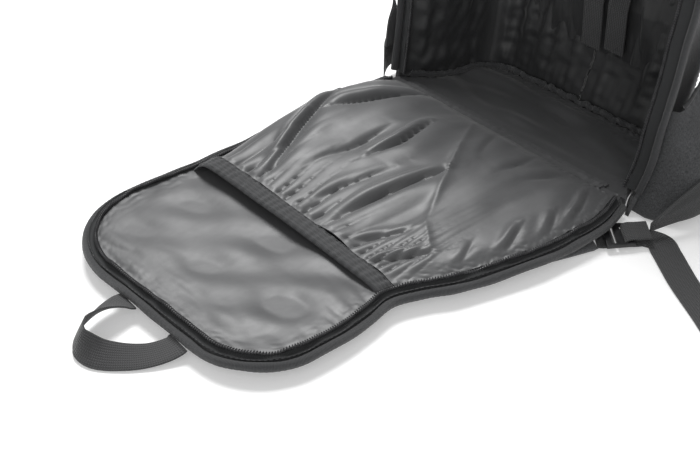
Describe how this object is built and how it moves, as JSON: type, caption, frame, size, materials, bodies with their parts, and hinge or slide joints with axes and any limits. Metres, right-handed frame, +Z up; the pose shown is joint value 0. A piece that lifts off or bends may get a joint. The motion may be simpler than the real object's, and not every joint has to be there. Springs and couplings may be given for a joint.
{
  "type": "laptop backpack",
  "caption": "Laptop backpack standing on its base, its padded back panel unzipped and laid open with the gathered laptop sleeve upwards.",
  "frame": {"origin": "centre of the base's flat underside, on the surface that the backpack rests on", "axes": "+Z up; +Y from the hinge of the back panel to the front wall, so the opened panel lies along -Y; +X to the right seen from the opened side"},
  "size_m": [0.5154, 0.6615, 0.4225],
  "materials": {
    "melange_cloth": "heather woven polyester, padded, matt",
    "satin_lining": "smooth nylon lining with a soft sheen",
    "wing_cloth": "plain woven nylon",
    "webbing": "ribbed woven webbing",
    "seam_binding": "ribbed edge binding",
    "zipper_tape": "herringbone tape",
    "zipper_chain": "nylon coil",
    "moulded_plastic": "moulded, satin"
  },
  "bodies": {
    "root": {"side_panel_left": "melange_cloth", "side_panel_right": "melange_cloth", "top_panel": "melange_cloth", "front_panel": "melange_cloth", "base_panel": "melange_cloth", "side_lining_left": "satin_lining", "side_lining_right": "satin_lining", "top_lining": "satin_lining", "front_lining": "satin_lining", "floor_lining": "satin_lining", "floor_seam_binding": "seam_binding", "body_rim_binding": "seam_binding", "body_zipper_tape": "zipper_tape", "body_zipper_chain": "zipper_chain", "back_panel": "melange_cloth", "panel_lining": "satin_lining", "panel_binding": "seam_binding", "panel_zipper_chain": "zipper_chain", "hinge_binding": "satin_lining", "laptop_sleeve": "satin_lining", "sleeve_band": "seam_binding", "grab_handle": "webbing", "shoulder_strap_left": "melange_cloth", "shoulder_strap_right": "melange_cloth", "ladder_lock_left": "moulded_plastic", "ladder_lock_right": "moulded_plastic", "anchor_webbing_left": "webbing", "anchor_webbing_right": "webbing", "strap_loop_left": "webbing", "strap_loop_right": "webbing", "strap_tail_left": "webbing", "strap_tail_right": "webbing", "anchor_wing_left": "wing_cloth", "anchor_wing_right": "wing_cloth", "side_pocket_left": "melange_cloth", "side_pocket_right": "melange_cloth", "side_pocket_binding_left": "seam_binding", "side_pocket_binding_right": "seam_binding", "inner_pocket": "satin_lining", "inner_strap_left": "webbing", "inner_strap_right": "webbing", "side_webbing_left": "webbing"}
  },
  "joints": []
}
